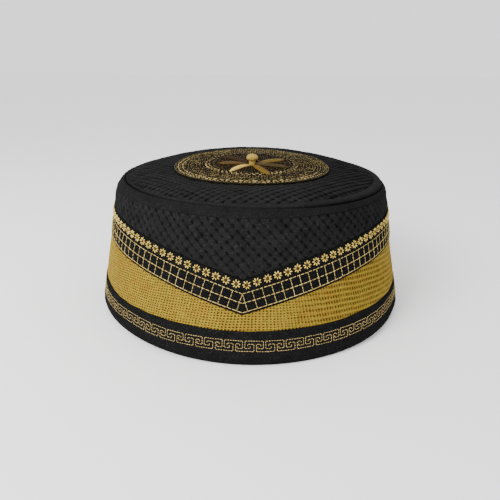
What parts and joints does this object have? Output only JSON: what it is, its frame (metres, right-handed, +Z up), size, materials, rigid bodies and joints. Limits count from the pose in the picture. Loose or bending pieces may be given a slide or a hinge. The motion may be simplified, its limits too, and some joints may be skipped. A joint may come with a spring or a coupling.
{
  "type": "prayer cap",
  "caption": "Round flat-topped prayer cap with tapering cloth wall, folded headband, V-shaped trim strip, quilted crown, embroidered disc and knotted button.",
  "frame": {"origin": "centre of the rim at the level the cap stands on, under the middle of the crown", "axes": "+Z up through the crown, -Y to the front, where the trim strip comes to its V, +X to the right seen from the front"},
  "size_m": [0.191, 0.191, 0.0894],
  "materials": {
    "black_band_cloth": "matt woven cotton",
    "black_quilted_cloth": "quilted, slight sheen",
    "gold_mesh_cloth": "open weave",
    "embroidered_disc": "close embroidery",
    "gold_thread": "satin stitch"
  },
  "bodies": {
    "root": {"headband": "black_band_cloth", "gold_panel": "gold_mesh_cloth", "chevron_band": "black_band_cloth", "quilted_wall": "black_quilted_cloth", "shoulder_band": "black_band_cloth", "crown_top": "black_quilted_cloth", "medallion": "embroidered_disc", "petal_1": "gold_thread", "petal_2": "gold_thread", "petal_3": "gold_thread", "petal_4": "gold_thread", "petal_5": "gold_thread", "petal_6": "gold_thread", "petal_7": "gold_thread", "knot_button": "gold_thread"}
  },
  "joints": []
}
